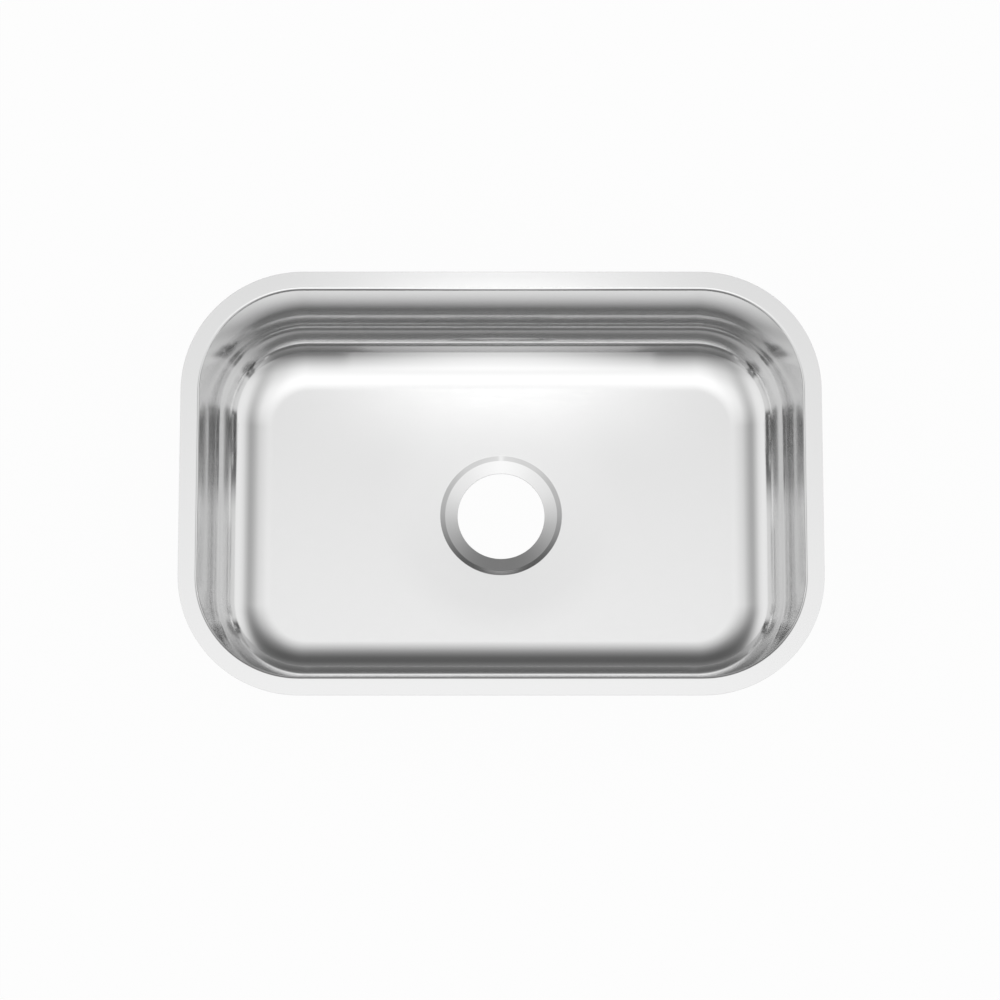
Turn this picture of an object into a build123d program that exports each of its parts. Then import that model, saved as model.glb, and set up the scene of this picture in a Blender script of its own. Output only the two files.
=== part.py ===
from build123d import *
from math import cos, radians, tan
import os

# An undermount kitchen sink: a bowl pressed from one sheet of stainless steel, with
# sound-damping pads glued to its hidden side. Millimetres. The origin is the centre of
# the opening in the plane of the flange's top face, which the worktop rests on.
# +Z is up, +X runs along the bowl's length and +Y to its back.

# ---- The bowl: the opening is measured where the walls would reach the top face, and
# ---- the floor is flat down to a shallow cone round the drain ----
opening_length = 602.0
opening_width = 392.0
corner_radius = 102.0
sheet = 1.0
flange_width = 19.0
rim_bend = 3.0
wall_draft = 3.0
floor_depth = 169.2
floor_radius = 58.0
dish_edge_gap = 7.0
dish_slope = 0.9

# ---- The drain seat: a steep ring, then a gentle cone down to the hole ----
drain_radius = 45.0
seat_cone_width = 13.0
seat_cone_slope = 12.5
seat_step_width = 4.9
seat_step_slope = 23.0
seat_land = 6.0
seat_bend = 1.5

# ---- The damping pads: ribbed sheets that follow the steel behind a film of glue ----
pad_thickness = 3.0
pad_adhesive = 0.3
pad_corner = 10.0
pad_gap = 28.0
wall_pad_top_gap = 20.0
wall_pad_foot_gap = 8.0
wall_pad_end_gap = 12.0
floor_pad_edge_gap = 12.0
floor_pad_spacing = 124.0
floor_pad_drain_gap = 20.0
groove_width = 3.0
groove_depth = 1.0
groove_pitch = 16.0
groove_margin = 12.0

# ---- Worked out from the above ----
draft_cos = cos(radians(wall_draft))
draft_tan = tan(radians(wall_draft))
dish_tan = tan(radians(dish_slope))
fillet_reach = floor_radius * tan(radians(90 - wall_draft) / 2)
floor_inset = floor_depth * draft_tan + fillet_reach
floor_half_length = opening_length / 2 - floor_inset
floor_half_width = opening_width / 2 - floor_inset
wall_height = floor_depth - fillet_reach
dish_radius = floor_half_width - dish_edge_gap
straight_x = opening_length / 2 - corner_radius
straight_y = opening_width / 2 - corner_radius
seat_radius = drain_radius + seat_cone_width + seat_step_width
ring_radius = seat_radius + seat_land
pad_start = sheet + pad_adhesive
pad_end = pad_start + pad_thickness


def wall_section(half_span, outward):
    """Half of an upright section of the room: a drafted wall with a round foot."""
    span = half_span + outward / draft_cos
    depth = floor_depth + outward
    foot = (span - depth * draft_tan, -depth)
    section = make_face(Polyline((0, 0), (span, 0), foot, (0, -depth), close=True))
    corner = section.vertices().sort_by_distance(foot)[0]
    return fillet(corner, floor_radius + outward)


def bowl_space(outward):
    """The room inside the bowl, with its faces moved outward by a distance: drafted
    walls with a large round foot, and a floor dished round the drain."""
    ends = Plane.XZ * wall_section(opening_length / 2, outward)
    sides = Plane.YZ * wall_section(opening_width / 2, outward)
    corner = Plane.XZ * wall_section(corner_radius, outward)
    quarter = extrude(ends, amount=-straight_y) + extrude(sides, amount=straight_x)
    turn = revolve(corner, Axis.Z, revolution_arc=90)
    quarter = quarter + Pos(straight_x, straight_y) * turn
    half = quarter + mirror(quarter, Plane.YZ)
    return half + mirror(half, Plane.XZ) + dish(outward)


def dish(outward):
    """The shallow cone in the floor that lets it drain."""
    depth = floor_depth + outward
    edge = dish_radius + outward * tan(radians(dish_slope) / 2)
    ring = depth + (edge - ring_radius) * dish_tan
    section = Polyline((0, -depth), (edge, -depth), (ring_radius, -ring), (0, -ring), close=True)
    return revolve(Plane.XZ * make_face(section), Axis.Z)


def drain_seat():
    """The ring pressed down round the drain hole, with its bends rounded."""
    step_radius = drain_radius + seat_cone_width
    start = (ring_radius + seat_land, -dish_depth(ring_radius + seat_land))
    edge = (seat_radius, -dish_depth(seat_radius))
    step_drop = seat_step_width * tan(radians(seat_step_slope))
    foot = (step_radius, edge[1] - step_drop)
    overrun = sheet
    cone_drop = (seat_cone_width + overrun) * tan(radians(seat_cone_slope))
    end = (drain_radius - overrun, foot[1] - cone_drop)
    top = FilletPolyline(start, edge, foot, end, radius=seat_bend)
    section = make_face(offset(top, amount=sheet, side=Side.LEFT))
    ring = revolve(Plane.XZ * section, Axis.Z)
    return (ring & Cylinder(ring_radius, 4 * floor_depth)) - Cylinder(drain_radius, 4 * floor_depth)


def dish_depth(radius):
    """How far the dished floor lies below the flange's top face at a radius."""
    return floor_depth + (dish_radius - radius) * dish_tan


def sink_bowl():
    """The flange, the walls, the floor and the drain seat as one pressed sheet."""
    outline = RectangleRounded(
        opening_length + 2 * flange_width,
        opening_width + 2 * flange_width,
        corner_radius + flange_width,
    )
    flange = extrude(outline, amount=-sheet)
    bowl = flange + bowl_space(sheet) - bowl_space(0)
    top_face = bowl.faces().filter_by(Axis.Z).sort_by(Axis.Z)[-1]
    bowl = fillet(top_face.inner_wires()[0].edges(), rim_bend)
    under_face = bowl.faces().filter_by(Axis.Z).sort_by(Axis.Z)[-2]
    bowl = fillet(under_face.inner_wires()[0].edges(), rim_bend - sheet)
    bowl = bowl - Pos(0, 0, -floor_depth) * Cylinder(ring_radius, floor_depth / 2)
    return bowl + drain_seat()


def pad(plane, outline, grooves, skin, groove_floor, reach=opening_length):
    """One pad: the part of the skin round the bowl inside an outline that is drawn on a
    plane through the bowl and pushed outward, with grooves in its outer face."""
    block = extrude(plane * outline, amount=reach)
    cuts = extrude(plane * grooves, amount=reach)
    return (skin & block) - (cuts - groove_floor)


def groove_row(length, width):
    """Straight grooves side by side along a pad of this length and width."""
    count = max(1, int((length - 2 * groove_margin) / groove_pitch) + 1)
    groove = Rectangle(groove_width, width - 2 * groove_margin)
    return Sketch() + GridLocations(groove_pitch, groove_pitch, count, 1) * groove


def wall_pads(skin, groove_floor):
    """Two pads on each long wall and one on each end wall."""
    height = wall_height - wall_pad_top_gap - wall_pad_foot_gap
    middle = -(wall_pad_top_gap + height / 2)
    corner = corner_radius + wall_pad_end_gap
    long_length = (opening_length - 2 * corner - pad_gap) / 2
    end_length = opening_width - 2 * corner
    long_place = (long_length + pad_gap) / 2
    places = {
        "front_pad_left": (Plane.front, -long_place, long_length),
        "front_pad_right": (Plane.front, long_place, long_length),
        "back_pad_left": (Plane.back, long_place, long_length),
        "back_pad_right": (Plane.back, -long_place, long_length),
        "left_end_pad": (Plane.left, 0, end_length),
        "right_end_pad": (Plane.right, 0, end_length),
    }
    pads = {}
    for name, (plane, place, length) in places.items():
        at = Pos(place, middle)
        outline = at * RectangleRounded(length, height, pad_corner)
        grooves = at * groove_row(length, height)
        pads[name] = pad(plane, outline, grooves, skin, groove_floor)
    return pads


def floor_pads(skin, groove_floor):
    """One pad to the left and one to the right of the drain, hollowed round it."""
    length = floor_half_length - floor_pad_edge_gap - floor_pad_spacing / 2
    width = 2 * (floor_half_width - floor_pad_edge_gap)
    place = (floor_pad_spacing + length) / 2
    drain_room = Circle(ring_radius + floor_pad_drain_gap)
    pads = {}
    for name, way in (("bottom_pad_left", -1), ("bottom_pad_right", 1)):
        at = Pos(way * place, 0)
        outline = at * RectangleRounded(length, width, pad_corner) - drain_room
        grooves = at * groove_row(length, width)
        grooves = grooves - Circle(ring_radius + floor_pad_drain_gap + groove_margin)
        pads[name] = pad(Plane.XY, outline, grooves, skin, groove_floor, -opening_length)
    return pads


skin = bowl_space(pad_end) - bowl_space(pad_start)
groove_floor = bowl_space(pad_end - groove_depth)
parts = {"sink_bowl": sink_bowl()}
parts.update(wall_pads(skin, groove_floor))
parts.update(floor_pads(skin, groove_floor))

os.makedirs("parts", exist_ok=True)
for name, shape in parts.items():
    export_step(shape, f"parts/{name}.step")
    print(name, round(shape.volume), shape.is_valid, len(shape.solids()))
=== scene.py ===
import bpy
from math import acos, atan, atan2, cos, pi, radians, sin, sqrt, tan
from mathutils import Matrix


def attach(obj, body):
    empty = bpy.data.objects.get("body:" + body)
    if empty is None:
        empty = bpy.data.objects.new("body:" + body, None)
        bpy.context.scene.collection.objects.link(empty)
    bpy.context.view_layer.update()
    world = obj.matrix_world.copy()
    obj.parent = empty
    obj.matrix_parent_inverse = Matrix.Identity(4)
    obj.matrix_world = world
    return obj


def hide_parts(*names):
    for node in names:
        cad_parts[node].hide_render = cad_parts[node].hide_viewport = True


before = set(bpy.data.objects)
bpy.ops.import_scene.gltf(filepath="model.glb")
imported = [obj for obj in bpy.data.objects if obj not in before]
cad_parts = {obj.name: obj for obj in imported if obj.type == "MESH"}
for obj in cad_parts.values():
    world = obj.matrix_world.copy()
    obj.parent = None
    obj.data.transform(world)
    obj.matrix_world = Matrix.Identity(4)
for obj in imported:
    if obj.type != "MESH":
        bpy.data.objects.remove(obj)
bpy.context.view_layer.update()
MM = 0.001

# ---- Sizes of the bowl in millimetres, as in the frame ----
opening_length = 602.0
opening_width = 392.0
corner_radius = 102.0
sheet = 1.0
flange_width = 19.0
rim_bend = 3.0
wall_draft = radians(3.0)
floor_depth = 169.2
floor_radius = 58.0
drain_radius = 45.0
seat_cone_width = 13.0
seat_cone_slope = radians(12.5)
seat_step_width = 4.9
seat_step_slope = radians(23.0)
seat_bend = 1.5
seat_radius = drain_radius + seat_cone_width + seat_step_width
seat_top = 170.177
edge_round = 0.2
hole_round = 0.15

# The steel is satin where it lies flat and polished where it leans more than this.
satin_full = radians(1.0)
satin_none = radians(20.0)
satin_seat = radians(12.0)

# The dish starts at one distance from the drain and has its full slope from another.
dish_start = 131.0
dish_steady = 97.0
dish_slope = (seat_top - floor_depth) / ((dish_steady - seat_radius) + (dish_start - dish_steady) / 2)

# How finely the mesh is divided.
end_steps = 16
side_steps = 40
corner_steps = 28
edge_steps = 3
flange_steps = 4
rim_steps = 14
wall_steps = 8
foot_steps = 36
floor_steps = 22
bend_steps = 6
cone_steps = 4
hole_steps = 4

floor_inset = floor_depth * tan(wall_draft) + floor_radius * tan((pi / 2 - wall_draft) / 2)
half_length = opening_length / 2
half_width = opening_width / 2
floor_half_length = half_length - floor_inset
floor_half_width = half_width - floor_inset


# ---- The bowl's mesh: stations round the opening, rows from the flange to the drain ----
def stations():
    """Points round the opening as (x, y, outward x, outward y), closer on the corners."""
    sx = half_length - corner_radius
    sy = half_width - corner_radius
    found = []
    for turn in range(4):
        a = turn * pi / 2
        side, far, reach, count = (
            (sy, half_length, floor_half_length, end_steps)
            if turn % 2 == 0
            else (sx, half_width, floor_half_width, side_steps)
        )
        most = atan(side / reach)
        for i in range(count):
            along = reach * tan(most * (2 * i / count - 1))
            found.append((far * cos(a) - along * sin(a), far * sin(a) + along * cos(a), cos(a), sin(a)))
        signs = ((1, 1), (-1, 1), (-1, -1), (1, -1))[turn]
        for i in range(corner_steps):
            b = a + pi / 2 * i / corner_steps
            cx = signs[0] * sx
            cy = signs[1] * sy
            found.append((cx + corner_radius * cos(b), cy + corner_radius * sin(b), cos(b), sin(b)))
    return found


def dish_drop(radius):
    """How far the floor lies below its edge, and its slope, at a distance from the drain."""
    if radius >= dish_start:
        return 0.0, 0.0
    span = dish_start - dish_steady
    if radius >= dish_steady:
        return dish_slope * (dish_start - radius) ** 2 / (2 * span), dish_slope * (dish_start - radius) / span
    return dish_slope * (dish_steady - radius + span / 2), dish_slope


def wall_rows():
    """Rows down to the floor's edge as (inset, height, lean, finish). Lean is the angle of
    the normal from straight up toward the middle of the bowl."""
    steep = pi / 2 - wall_draft
    reach = rim_bend * tan(steep / 2)
    rows = [(-flange_width, -sheet / 2, -pi / 2, "flange"), (-flange_width, -edge_round, -pi / 2, "flange")]
    for i in range(1, edge_steps + 1):
        b = -pi / 2 * (1 - i / edge_steps)
        rows.append((-flange_width + edge_round * (1 + sin(b)), -edge_round * (1 - cos(b)), b, "flange"))
    for i in range(1, flange_steps + 1):
        across = (flange_width - edge_round - reach) * i / flange_steps
        rows.append((-flange_width + edge_round + across, 0.0, 0.0, "flange"))
    for i in range(1, rim_steps + 1):
        b = steep * i / rim_steps
        rows.append((-reach + rim_bend * sin(b), -rim_bend + rim_bend * cos(b), b, "wall"))
    top = -rim_bend + rim_bend * cos(steep)
    centre_z = -(floor_depth - floor_radius)
    foot = centre_z - floor_radius * cos(steep)
    for i in range(1, wall_steps + 1):
        z = top + (foot - top) * i / wall_steps
        rows.append((-z * tan(wall_draft), z, steep, "wall"))
    for i in range(1, foot_steps + 1):
        b = steep * (1 - i / foot_steps)
        rows.append((floor_inset - floor_radius * sin(b), centre_z - floor_radius * cos(b), b, "wall"))
    return rows


def seat_rows():
    """Rows from the floor to the drain hole as (radius, height, lean, finish)."""
    leans = [atan(dish_slope), seat_step_slope, seat_cone_slope]
    step_radius = seat_radius - seat_step_width
    step_z = -seat_top - seat_step_width * tan(seat_step_slope)
    rows = []
    for k, (r, z) in enumerate(((seat_radius, -seat_top), (step_radius, step_z))):
        turn = leans[k + 1] - leans[k]
        way = 1 if turn > 0 else -1
        reach = abs(seat_bend * tan(turn / 2))
        centre_r = r + reach * cos(leans[k]) + way * seat_bend * sin(leans[k])
        centre_z = z + reach * sin(leans[k]) - way * seat_bend * cos(leans[k])
        for i in range(bend_steps + 1):
            b = leans[k] + turn * i / bend_steps
            rows.append((centre_r - way * seat_bend * sin(b), centre_z + way * seat_bend * cos(b), b, "seat"))
    cone = seat_cone_slope
    start_r = rows[-1][0]
    stop_r = drain_radius + hole_round * (1 - sin(cone))
    for i in range(1, cone_steps + 1):
        r = start_r + (stop_r - start_r) * i / cone_steps
        rows.append((r, cone_height(r), cone, "seat"))
    centre_z = cone_height(stop_r) - hole_round * cos(cone)
    for i in range(1, hole_steps + 1):
        b = cone + (pi / 2 - cone) * i / hole_steps
        rows.append((drain_radius + hole_round * (1 - sin(b)), centre_z + hole_round * cos(b), b, "seat"))
    return rows


def cone_height(radius):
    """The height of the seat's gentle cone at a distance from the drain's axis."""
    step_radius = seat_radius - seat_step_width
    step_z = -seat_top - seat_step_width * tan(seat_step_slope)
    return step_z - (step_radius - radius) * tan(seat_cone_slope)


def satin_share(finish, normal):
    """How satin the steel is at a point: polished walls turn satin toward the floor."""
    lean = acos(max(-1.0, min(1.0, normal[2])))
    if finish == "wall":
        share = max(0.0, min(1.0, 1.0 - (lean - satin_full) / (satin_none - satin_full)))
        return share * share * (3 - 2 * share) if normal[2] < 1 else 1.0
    return 1.0 if finish == "floor" or lean < satin_seat else 0.0


def make_bowl():
    """The whole pressed sheet as one closed mesh with exact normals."""
    around = stations()
    count = len(around)
    rings = []

    def add_ring(make, finish):
        rings.append(([make(*s) for s in around], finish))

    def wall_point(inset, z, lean, side):
        def make(x, y, nx, ny):
            normal = (-nx * sin(lean), -ny * sin(lean), cos(lean))
            return shift((x - inset * nx, y - inset * ny, z), normal, side)

        return make

    def floor_point(share, side):
        def make(x, y, nx, ny):
            ex, ey = x - floor_inset * nx, y - floor_inset * ny
            a = atan2(ey, ex)
            r = seat_radius + seat_bend
            px, py = ex + (r * cos(a) - ex) * share, ey + (r * sin(a) - ey) * share
            radius = sqrt(px * px + py * py)
            drop, slope = dish_drop(radius)
            n = 1 / sqrt(1 + slope * slope)
            normal = (-px / radius * slope * n, -py / radius * slope * n, n)
            return shift((px, py, -floor_depth - drop), normal, side)

        return make

    def seat_point(radius, z, lean, side):
        def make(x, y, nx, ny):
            a = atan2(y - floor_inset * ny, x - floor_inset * nx)
            normal = (-cos(a) * sin(lean), -sin(a) * sin(lean), cos(lean))
            return shift((radius * cos(a), radius * sin(a), z), normal, side)

        return make

    def shift(point, normal, side):
        if side > 0:
            return point, normal
        return (
            tuple(p - sheet * n for p, n in zip(point, normal)),
            tuple(-n for n in normal),
        )

    walls = wall_rows()
    seats = seat_rows()
    floor_shares = [i / floor_steps for i in range(1, floor_steps + 1)]
    for inset, z, lean, finish in walls:
        add_ring(wall_point(inset, z, lean, 1), finish)
    for share in floor_shares:
        add_ring(floor_point(share, 1), "floor")
    for radius, z, lean, finish in seats:
        add_ring(seat_point(radius, z, lean, 1), finish)
    # The hole's edge, then the hidden side back out to the flange.
    low = cone_height(drain_radius) - sheet / cos(seat_cone_slope) + hole_round
    add_ring(seat_point(drain_radius, low, pi / 2, 1), "seat")
    edge = drain_radius + hole_round - sheet * sin(seat_cone_slope)
    add_ring(seat_point(edge, cone_height(edge), seat_cone_slope, -1), "under")
    for radius, z, lean, finish in reversed(seats[: -hole_steps - 1]):
        add_ring(seat_point(radius, z, lean, -1), "under")
    for share in reversed(floor_shares):
        add_ring(floor_point(share, -1), "under")
    flange_end = 2 + edge_steps + flange_steps
    for inset, z, lean, finish in reversed(walls[flange_end:]):
        add_ring(wall_point(inset, z, lean, -1), "under")
    for inset, z, lean, finish in reversed(walls[1:flange_end]):
        add_ring(wall_point(inset, -sheet - z, pi - lean, 1), "under")

    points = []
    normals = []
    satins = []
    for ring, finish in rings:
        for p, n in ring:
            points.append(tuple(v * MM for v in p))
            normals.append(n)
            satins.append(satin_share(finish, n))
    names = ["flange", "wall", "floor", "seat", "under"]
    faces = []
    finishes = []
    total = len(rings)
    for j in range(total):
        k = (j + 1) % total
        for i in range(count):
            m = (i + 1) % count
            faces.append((j * count + m, k * count + m, k * count + i, j * count + i))
            finishes.append(names.index(rings[k][1]))
    mesh = bpy.data.meshes.new("pressed_bowl")
    mesh.from_pydata(points, [], faces)
    mesh.polygons.foreach_set("material_index", finishes)
    mesh.polygons.foreach_set("use_smooth", [True] * len(faces))
    mesh.normals_split_custom_set_from_vertices(normals)
    mesh.attributes.new("satin", "FLOAT", "POINT").data.foreach_set("value", satins)
    mesh.update()
    obj = bpy.data.objects.new("pressed_bowl", mesh)
    bpy.context.collection.objects.link(obj)
    return obj, names


# ---- Materials ----
def metal(name, colour, roughness, grain, grain_scale, satin=None):
    """Stainless steel with a fine grain in its roughness. Satin is the colour and roughness
    that it turns to where the mesh says so."""
    mat = bpy.data.materials.new(name)
    mat.use_nodes = True
    nodes, links = mat.node_tree.nodes, mat.node_tree.links
    shader = nodes["Principled BSDF"]
    shader.inputs["Metallic"].default_value = 1.0
    shader.inputs["Base Color"].default_value = (colour, colour, colour, 1.0)
    shader.inputs["Roughness"].default_value = roughness
    shader.inputs["Specular Tint"].default_value = (1.0, 1.0, 1.0, 1.0)
    place = nodes.new("ShaderNodeTexCoord")
    stretch = nodes.new("ShaderNodeMapping")
    stretch.inputs["Scale"].default_value = grain_scale
    links.new(place.outputs["Object"], stretch.inputs["Vector"])
    fine = nodes.new("ShaderNodeTexNoise")
    fine.inputs["Scale"].default_value = 1.0
    fine.inputs["Detail"].default_value = 6.0
    fine.inputs["Roughness"].default_value = 0.6
    links.new(stretch.outputs["Vector"], fine.inputs["Vector"])
    span = nodes.new("ShaderNodeMapRange")
    span.inputs["From Min"].default_value = 0.25
    span.inputs["From Max"].default_value = 0.75
    span.inputs["To Min"].default_value = roughness - grain
    span.inputs["To Max"].default_value = roughness + grain
    links.new(fine.outputs["Fac"], span.inputs["Value"])
    links.new(span.outputs["Result"], shader.inputs["Roughness"])
    if satin:
        where = nodes.new("ShaderNodeAttribute")
        where.attribute_name = "satin"
        rise = nodes.new("ShaderNodeMapRange")
        rise.inputs["To Min"].default_value = 0.0
        rise.inputs["To Max"].default_value = satin[1] - roughness
        links.new(where.outputs["Fac"], rise.inputs["Value"])
        total = nodes.new("ShaderNodeMath")
        links.new(span.outputs["Result"], total.inputs[0])
        links.new(rise.outputs["Result"], total.inputs[1])
        links.new(total.outputs["Value"], shader.inputs["Roughness"])
        tone = nodes.new("ShaderNodeValToRGB")
        tone.color_ramp.elements[0].color = (colour, colour, colour, 1.0)
        tone.color_ramp.elements[1].color = (satin[0], satin[0], satin[0], 1.0)
        links.new(where.outputs["Fac"], tone.inputs["Fac"])
        links.new(tone.outputs["Color"], shader.inputs["Base Color"])
    return mat


def rubber(name):
    """Matt black butyl with a fine pebbled skin."""
    mat = bpy.data.materials.new(name)
    mat.use_nodes = True
    nodes, links = mat.node_tree.nodes, mat.node_tree.links
    shader = nodes["Principled BSDF"]
    shader.inputs["Specular IOR Level"].default_value = 0.35
    place = nodes.new("ShaderNodeTexCoord")
    pebbles = nodes.new("ShaderNodeTexNoise")
    pebbles.inputs["Scale"].default_value = 900.0
    pebbles.inputs["Detail"].default_value = 3.0
    links.new(place.outputs["Object"], pebbles.inputs["Vector"])
    clouds = nodes.new("ShaderNodeTexNoise")
    clouds.inputs["Scale"].default_value = 28.0
    clouds.inputs["Detail"].default_value = 4.0
    links.new(place.outputs["Object"], clouds.inputs["Vector"])
    tone = nodes.new("ShaderNodeValToRGB")
    tone.color_ramp.elements[0].position = 0.3
    tone.color_ramp.elements[0].color = (0.018, 0.018, 0.019, 1)
    tone.color_ramp.elements[1].position = 0.75
    tone.color_ramp.elements[1].color = (0.035, 0.035, 0.037, 1)
    links.new(clouds.outputs["Fac"], tone.inputs["Fac"])
    links.new(tone.outputs["Color"], shader.inputs["Base Color"])
    rough = nodes.new("ShaderNodeMapRange")
    rough.inputs["To Min"].default_value = 0.62
    rough.inputs["To Max"].default_value = 0.85
    links.new(clouds.outputs["Fac"], rough.inputs["Value"])
    links.new(rough.outputs["Result"], shader.inputs["Roughness"])
    raised = nodes.new("ShaderNodeBump")
    raised.inputs["Strength"].default_value = 0.35
    raised.inputs["Distance"].default_value = 0.0002
    links.new(pebbles.outputs["Fac"], raised.inputs["Height"])
    links.new(raised.outputs["Normal"], shader.inputs["Normal"])
    return mat


bowl, finish_names = make_bowl()
finishes = {
    "flange": metal("steel_flange", 0.8, 0.24, 0.02, (900.0, 900.0, 900.0)),
    "wall": metal("steel_wall", 0.8, 0.09, 0.002, (600.0, 600.0, 600.0), satin=(0.78, 0.24)),
    "floor": metal("steel_floor", 0.78, 0.24, 0.02, (120.0, 900.0, 120.0)),
    # The drain seat's sloping steel is given 0.72 against 0.8 on the rest of the same sheet: painted shade in
    # the drain recess. Its flat satin parts keep 0.78.
    "seat": metal("steel_seat_painted_shade", 0.72, 0.1, 0.01, (700.0, 700.0, 700.0), satin=(0.78, 0.24)),
    "under": metal("steel_under", 0.62, 0.34, 0.04, (500.0, 500.0, 500.0)),
}
for name in finish_names:
    bowl.data.materials.append(finishes[name])
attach(bowl, "root")
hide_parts("sink_bowl")

pad_skin = rubber("butyl_pad")
for name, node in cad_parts.items():
    if "pad" in name:
        node.data.materials.clear()
        node.data.materials.append(pad_skin)

# ---- The studio: a pale floor, and soft light that falls off toward the front and back ----
floor_reach = 12.0
floor_level = -0.1768
floor_own_light = 0.96
shade_full = 0.25
shade_none = 0.5
backdrop_strength = 1.0
fill_light = 0.14


def calc(tree, operation, first, second=None):
    """A Math node on numbers or sockets, as the socket that it gives."""
    node = tree.nodes.new("ShaderNodeMath")
    node.operation = operation
    for socket, value in zip(node.inputs, (first, second)):
        if isinstance(value, (int, float)):
            socket.default_value = value
        elif value is not None:
            tree.links.new(value, socket)
    return node.outputs["Value"]


def make_floor():
    """A pale floor that the camera and mirrors see as lit from within, but that mirrors see
    dark under the sink, where the drain hole would show it as a bright mark."""
    corners = [(x * floor_reach, y * floor_reach, floor_level) for x, y in ((-1, -1), (1, -1), (1, 1), (-1, 1))]
    ground = bpy.data.meshes.new("studio_floor")
    ground.from_pydata(corners, [], [(0, 1, 2, 3)])
    obj = bpy.data.objects.new("studio_floor", ground)
    bpy.context.collection.objects.link(obj)
    pale = bpy.data.materials.new("studio_floor")
    pale.use_nodes = True
    tree = pale.node_tree
    nodes, links = tree.nodes, tree.links
    nodes["Principled BSDF"].inputs["Base Color"].default_value = (0.8, 0.8, 0.8, 1)
    nodes["Principled BSDF"].inputs["Roughness"].default_value = 0.9
    lit = nodes.new("ShaderNodeEmission")
    lit.inputs["Color"].default_value = (1, 1, 1, 1)
    lit.inputs["Strength"].default_value = 1.0
    path = nodes.new("ShaderNodeLightPath")
    place = nodes.new("ShaderNodeTexCoord")
    distance = nodes.new("ShaderNodeVectorMath")
    distance.operation = "LENGTH"
    links.new(place.outputs["Object"], distance.inputs[0])
    beside_sink = nodes.new("ShaderNodeMapRange")
    beside_sink.inputs["From Min"].default_value = shade_full
    beside_sink.inputs["From Max"].default_value = shade_none
    links.new(distance.outputs["Value"], beside_sink.inputs["Value"])
    in_mirror = calc(tree, "MULTIPLY", path.outputs["Is Glossy Ray"], beside_sink.outputs["Result"])
    in_view = calc(tree, "MAXIMUM", path.outputs["Is Camera Ray"], in_mirror)
    in_any = calc(tree, "MAXIMUM", in_view, path.outputs["Is Transmission Ray"])
    blend = nodes.new("ShaderNodeMixShader")
    links.new(calc(tree, "MULTIPLY", in_any, floor_own_light), blend.inputs["Fac"])
    links.new(nodes["Principled BSDF"].outputs["BSDF"], blend.inputs[1])
    links.new(lit.outputs["Emission"], blend.inputs[2])
    links.new(blend.outputs["Shader"], nodes["Material Output"].inputs["Surface"])
    ground.materials.append(pale)
    return obj


make_floor()

# How bright the room is by angle from straight up, in degrees: each row is (angle, light).
overhead_back = (
    (-90, 0.0), (-72, 0.04), (-64, 0.1), (-56, 0.29), (-48, 0.49), (-40, 0.7), (-32, 0.9), (-24, 1.03),
    (-16, 1.15), (-8, 1.24), (0, 1.24), (5, 1.16), (9, 1.07), (12, 0.98), (15, 0.85), (17, 0.77),
    (23, 0.54), (29, 0.31), (35, 0.15), (41, 0.05), (46, 0.0), (90, 0.0),
)
overhead_aside = (
    (0, 1.0), (8, 0.93), (14, 0.84), (22, 0.75), (30, 0.56), (38, 0.36), (43, 0.25), (48, 0.15),
    (56, 0.05), (64, 0.0), (90, 0.0),
)
panels_aside = (
    (0, 0.0), (28, 0.0), (34, 0.03), (38, 0.07), (43, 0.19), (47, 0.36), (51, 0.52), (56, 0.72),
    (61, 0.82), (66, 0.87), (74, 0.85), (80, 0.8), (85, 0.7), (90, 0.6),
)
panels_back = (
    (-90, 0.35), (-64, 0.45), (-56, 0.52), (-48, 0.6), (-40, 0.7), (-32, 0.85), (-24, 0.93), (-16, 0.97),
    (-8, 1.0), (20, 1.0), (30, 0.98), (40, 0.9), (48, 0.85), (56, 0.62), (66, 0.3), (90, 0.2),
)
horizon_back = (
    (-90, 0.0), (-60, 0.0), (45, 0.0), (52, 0.01), (58, 0.06), (64, 0.12), (68, 0.16), (76, 0.27), (90, 0.32),
)


def curve(tree, source, low, stops):
    """The light at an angle between low and 90 degrees, smoothly joined from stops."""
    ramp = tree.nodes.new("ShaderNodeFloatCurve")
    span = float(90 - low)
    mapped = calc(tree, "DIVIDE", calc(tree, "SUBTRACT", source, float(low)), span)
    line = ramp.mapping.curves[0]
    top = max(value for angle, value in stops)
    for i, (angle, value) in enumerate(stops):
        x, y = (angle - low) / span, value / top
        if i < 2:
            line.points[i].location = (x, y)
        else:
            line.points.new(x, y)
    ramp.mapping.update()
    tree.links.new(mapped, ramp.inputs["Value"])
    return calc(tree, "MULTIPLY", ramp.outputs["Value"], float(top))


def beyond(tree, angle, start):
    """How far an angle is past its start, and nothing before it."""
    return calc(tree, "MAXIMUM", calc(tree, "SUBTRACT", angle, start), 0.0)


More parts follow.
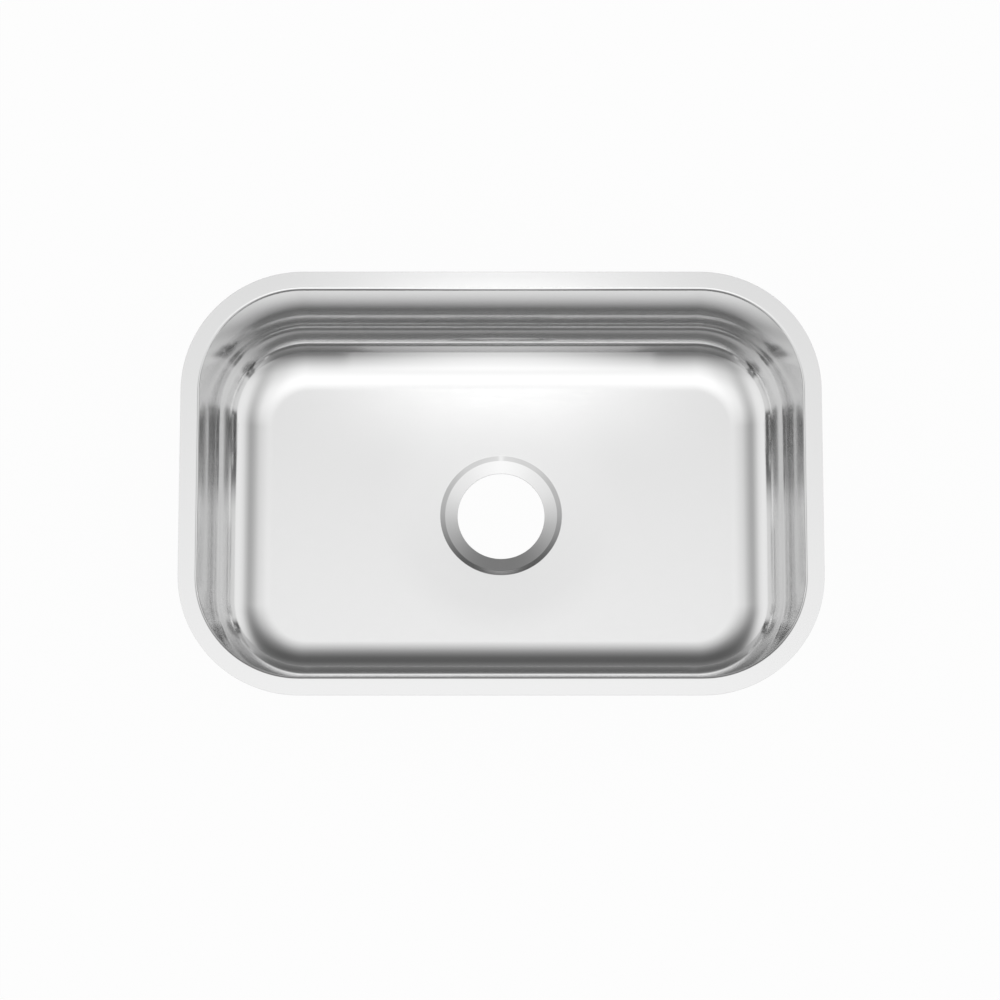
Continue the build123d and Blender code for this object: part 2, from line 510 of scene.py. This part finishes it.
def make_room():
    """The room's light by direction: one soft light overhead, a wide panel to each side and
    a faint horizon at the back. The camera itself sees a white backdrop."""
    world = bpy.data.worlds.new("studio")
    bpy.context.scene.world = world
    world.use_nodes = True
    tree = world.node_tree
    nodes, links = tree.nodes, tree.links
    sky = nodes["Background"]
    sky.inputs["Color"].default_value = (1, 1, 1, 1)
    place = nodes.new("ShaderNodeTexCoord")
    split = nodes.new("ShaderNodeSeparateXYZ")
    links.new(place.outputs["Generated"], split.inputs["Vector"])
    x, y, z = split.outputs["X"], split.outputs["Y"], split.outputs["Z"]

    # Aside is the angle to the left or right, and back is the angle away from the camera.
    from_up = calc(tree, "MULTIPLY", calc(tree, "ARCCOSINE", z), 180 / pi)
    squares = calc(tree, "ADD", calc(tree, "POWER", x, 2.0), calc(tree, "POWER", y, 2.0))
    per = calc(tree, "DIVIDE", from_up, calc(tree, "MAXIMUM", calc(tree, "SQRT", squares), 1e-4))
    aside = calc(tree, "ABSOLUTE", calc(tree, "MULTIPLY", x, per))
    back = calc(tree, "MULTIPLY", y, per)
    ahead = calc(tree, "MAXIMUM", calc(tree, "MULTIPLY", back, -1.0), 0.0)

    # The overhead light narrows toward the back. The panels reach further in at the back
    # and far in front.
    narrowed = calc(tree, "MULTIPLY", aside, calc(tree, "ADD", calc(tree, "MULTIPLY", back, 0.005), 1.0))
    at_back = calc(tree, "MULTIPLY", beyond(tree, back, 20.0), 0.12)
    in_front = calc(tree, "MINIMUM", calc(tree, "MULTIPLY", beyond(tree, ahead, 46.0), 0.6), 6.0)
    widened = calc(tree, "ADD", aside, calc(tree, "ADD", at_back, in_front))

    overhead = calc(
        tree, "MULTIPLY", curve(tree, back, -90, overhead_back), curve(tree, narrowed, 0, overhead_aside)
    )
    panels = calc(tree, "MULTIPLY", curve(tree, widened, 0, panels_aside), curve(tree, back, -90, panels_back))
    horizon = calc(tree, "ADD", curve(tree, back, -90, horizon_back), fill_light)
    light = calc(tree, "ADD", calc(tree, "ADD", overhead, panels), horizon)
    backdrop = nodes.new("ShaderNodeMix")
    backdrop.data_type = "FLOAT"
    path = nodes.new("ShaderNodeLightPath")
    links.new(path.outputs["Is Camera Ray"], backdrop.inputs[0])
    links.new(light, backdrop.inputs[2])
    backdrop.inputs[3].default_value = backdrop_strength
    links.new(backdrop.outputs[0], sky.inputs["Strength"])


def glow(angle, aim, away, radius, width, height, brightness, meeting):
    """A round lamp at an angle from straight up and at a distance from its aim. It shines
    only within width and height degrees of its axis, and is seen only by rays that leave
    the steel at this meeting: 1 is the first, 2 the second."""
    lamp = bpy.data.lights.new("glow", "SPOT")
    lamp.energy = brightness * (2 * pi * radius) ** 2
    lamp.shadow_soft_size = radius
    lamp.spot_size = 2 * radians(height)
    lamp.spot_blend = 1.0
    lamp.use_nodes = True
    nodes, links = lamp.node_tree.nodes, lamp.node_tree.links
    path = nodes.new("ShaderNodeLightPath")
    met = nodes.new("ShaderNodeMath")
    met.operation = "COMPARE"
    met.inputs[1].default_value = meeting + 1.0
    met.inputs[2].default_value = 0.6
    links.new(path.outputs["Ray Depth"], met.inputs[0])
    links.new(met.outputs["Value"], nodes["Emission"].inputs["Strength"])
    holder = bpy.data.objects.new("glow", lamp)
    a = radians(angle)
    holder.location = (aim[0], aim[1] + away * sin(a), aim[2] + away * cos(a))
    holder.rotation_euler = (-a, 0.0, 0.0)
    holder.scale = (width / height, 1.0, 1.0)
    bpy.context.collection.objects.link(holder)


make_room()

# The pale glow in the middle of the floor's back edge, from a row of small lamps.
floor_glow = (1.85, 1.7205, 1.3875, 0.8695, 0.37)
for i, brightness in enumerate(floor_glow):
    for x in (0.045 * i, -0.045 * i)[: 2 if i else 1]:
        glow(13.2, (x, 0.14, -0.169), 1.2, 0.05, 3.1, 3.1, brightness, 1)

# The same glow in the round foot behind it, from wide beams that come from lower and lower
# in front, and in that foot's image in the front wall, from beams low at the back.
foot_glow = (0.12, 0.16, 0.2, 0.24, 0.29, 0.33, 0.34, 0.37, 0.4, 0.38)
for i, brightness in enumerate(foot_glow):
    glow(-30 - 4.5 * i, (0.0, 0.163, -0.158), 0.5, 0.184, 2.55, 6.4, brightness, 1)
for i in range(4):
    glow(62 + 4.5 * i, (0.0, -0.191, -0.08), 0.5, 0.18, 2.55, 6.4, 0.34, 2)

# ---- The camera, from in front and nearly overhead ----
tilt = radians(11.687)
distance = 4.150
aim = (-0.00112, -0.00095, -0.0875)
lens = bpy.data.cameras.new("camera")
lens.sensor_width = 36.0
lens.lens = 147.28
lens.clip_start = 0.05
lens.clip_end = 100.0
camera = bpy.data.objects.new("camera", lens)
camera.location = (aim[0], aim[1] - distance * sin(tilt), aim[2] + distance * cos(tilt))
camera.rotation_euler = (tilt, 0.0, 0.0)
bpy.context.collection.objects.link(camera)
bpy.context.scene.camera = camera

bpy.context.scene.view_settings.view_transform = "Standard"

# The walls mirror each other many times, and a ray can pass through many of the lamps.
bpy.context.scene.cycles.glossy_bounces = 12
bpy.context.scene.cycles.max_bounces = 14
bpy.context.scene.cycles.transparent_max_bounces = 40
